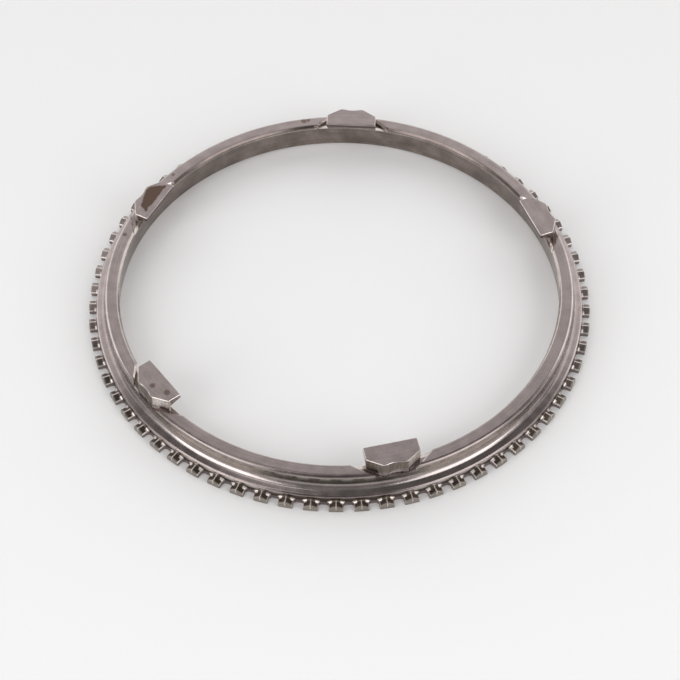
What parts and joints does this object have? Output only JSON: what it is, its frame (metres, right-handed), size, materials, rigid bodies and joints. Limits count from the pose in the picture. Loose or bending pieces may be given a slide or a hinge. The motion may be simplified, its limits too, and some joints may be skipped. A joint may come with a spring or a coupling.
{
  "type": "synchronizer ring",
  "caption": "Steel gearbox synchronizer ring: a collar with a conical friction bore, roofed blocker teeth round its rim and flat drive lugs that overhang the bore.",
  "frame": {"origin": "on the ring's axis, in the plane of its flat gear-side face", "axes": "+Z along the ring's axis towards the lugs; the middle lug stands on -X and the wide space between lugs is centred on +X"},
  "size_m": [0.2, 0.2, 0.0171],
  "materials": {
    "steel": "satin turned and tumbled steel with light handling stains"
  },
  "bodies": {
    "root": {"ring": "steel"}
  },
  "joints": []
}
